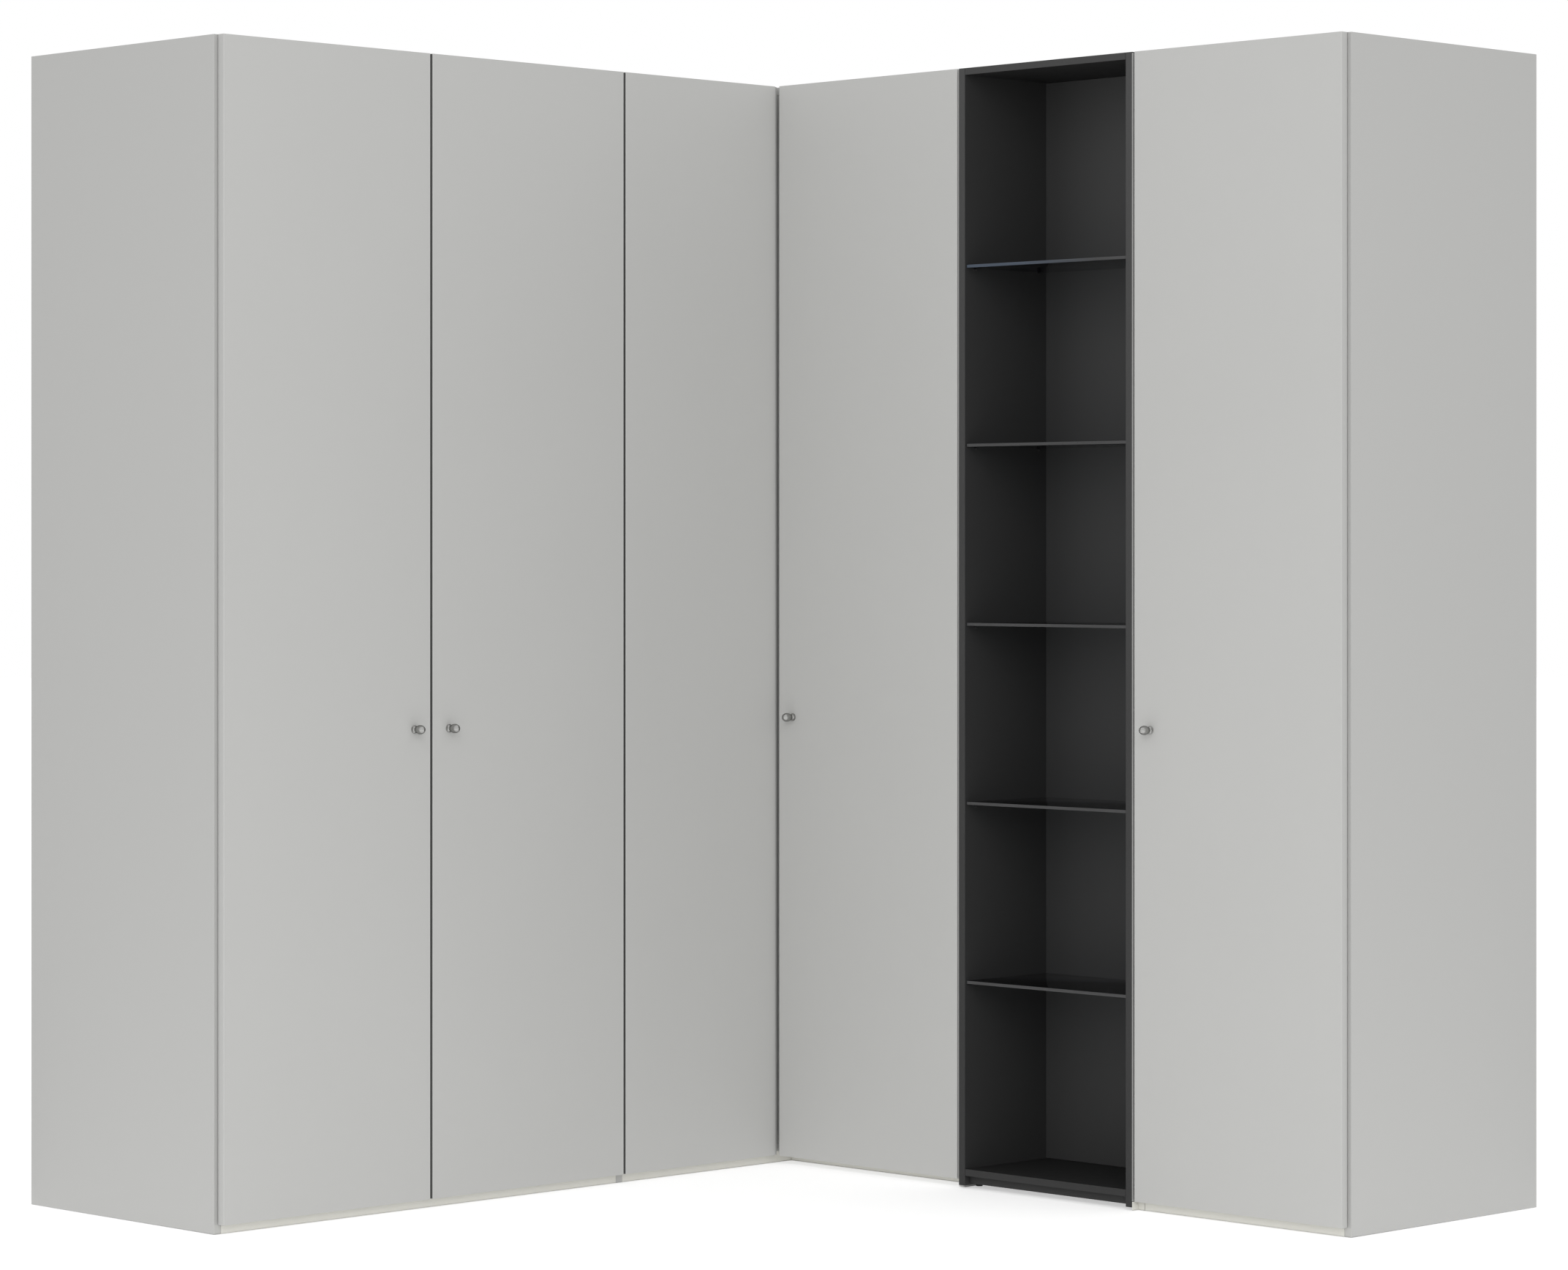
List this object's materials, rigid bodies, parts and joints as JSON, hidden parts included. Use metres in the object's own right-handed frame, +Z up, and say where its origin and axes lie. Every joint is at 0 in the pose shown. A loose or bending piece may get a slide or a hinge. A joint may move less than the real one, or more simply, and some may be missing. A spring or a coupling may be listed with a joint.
{
  "type": "corner wardrobe",
  "caption": "L-shaped corner wardrobe with plain hinged doors, small turned knobs, a fixed corner front and an open dark shelf unit with glass shelves.",
  "frame": {"origin": "on the floor, below the middle of the wardrobe's bounding box", "axes": "+Z up; +X along the wing with the shelf unit, away from the corner; -Y along the other wing, away from the corner; the walls are at -X and +Y"},
  "size_m": [2.02, 1.978, 2.16],
  "materials": {
    "front_lacquer": "light grey matt lacquered board",
    "carcass_board": "light grey coated board",
    "graphite_board": "graphite coated board",
    "smoked_glass": "smoked float glass with polished edges",
    "knob_metal": "satin",
    "steel": "nickel plated",
    "black_plastic": "matt moulded"
  },
  "bodies": {
    "carcass": {"left_unit_outer_side": "carcass_board", "left_unit_shared_side": "carcass_board", "left_unit_top": "carcass_board", "left_unit_bottom": "carcass_board", "left_unit_plinth": "carcass_board", "left_unit_back": "carcass_board", "left_unit_hat_shelf": "carcass_board", "left_unit_rail": "steel", "corner_unit_top": "carcass_board", "corner_unit_bottom": "carcass_board", "corner_unit_hat_shelf": "carcass_board", "corner_unit_side": "carcass_board", "corner_unit_foot": "black_plastic", "corner_unit_back_left": "carcass_board", "corner_unit_back_right": "carcass_board", "corner_unit_plinth_left": "carcass_board", "corner_unit_plinth_right": "carcass_board", "corner_unit_post_left": "carcass_board", "corner_unit_post_right": "carcass_board", "corner_unit_rail": "steel", "corner_unit_fixed_front": "front_lacquer", "shelf_unit_left_side": "graphite_board", "shelf_unit_right_side": "graphite_board", "shelf_unit_top": "graphite_board", "shelf_unit_bottom": "graphite_board", "shelf_unit_plinth": "graphite_board", "shelf_unit_back": "graphite_board", "glass_shelf_1": "smoked_glass", "glass_shelf_2": "smoked_glass", "glass_shelf_3": "smoked_glass", "glass_shelf_4": "smoked_glass", "glass_shelf_5": "smoked_glass", "right_unit_inner_side": "carcass_board", "right_unit_outer_side": "carcass_board", "right_unit_top": "carcass_board", "right_unit_bottom": "carcass_board", "right_unit_plinth": "carcass_board", "right_unit_back": "carcass_board", "right_unit_hat_shelf": "carcass_board", "right_unit_rail": "steel", "left_unit_door_1_hinge_1": "steel", "left_unit_door_1_hinge_2": "steel", "left_unit_door_1_hinge_3": "steel", "left_unit_door_2_hinge_1": "steel", "left_unit_door_2_hinge_2": "steel", "left_unit_door_2_hinge_3": "steel", "corner_unit_door_hinge_1": "steel", "corner_unit_door_hinge_2": "steel", "corner_unit_door_hinge_3": "steel", "right_unit_door_hinge_1": "steel", "right_unit_door_hinge_2": "steel", "right_unit_door_hinge_3": "steel"},
    "left_door_1": {"left_unit_door_1": "front_lacquer", "left_unit_door_1_knob": "knob_metal"},
    "left_door_2": {"left_unit_door_2": "front_lacquer", "left_unit_door_2_knob": "knob_metal"},
    "corner_door": {"corner_unit_door": "front_lacquer", "corner_unit_door_knob": "knob_metal"},
    "right_door": {"right_unit_door": "front_lacquer", "right_unit_door_knob": "knob_metal"}
  },
  "joints": [
    {"name": "left_door_1_hinge", "type": "hinge", "parent": "carcass", "child": "left_door_1", "pos_m": [-0.437, -0.981, 0], "axis": [0, 0, -1], "range_deg": [0, 105]},
    {"name": "left_door_2_hinge", "type": "hinge", "parent": "carcass", "child": "left_door_2", "pos_m": [-0.437, 0, 0], "axis": [0, 0, 1], "range_deg": [0, 105]},
    {"name": "corner_door_hinge", "type": "hinge", "parent": "carcass", "child": "corner_door", "pos_m": [0.0595, 0.416, 0], "axis": [0, 0, 1], "range_deg": [0, 105]},
    {"name": "right_door_hinge", "type": "hinge", "parent": "carcass", "child": "right_door", "pos_m": [1.002, 0.416, 0], "axis": [0, 0, 1], "range_deg": [0, 105]}
  ]
}
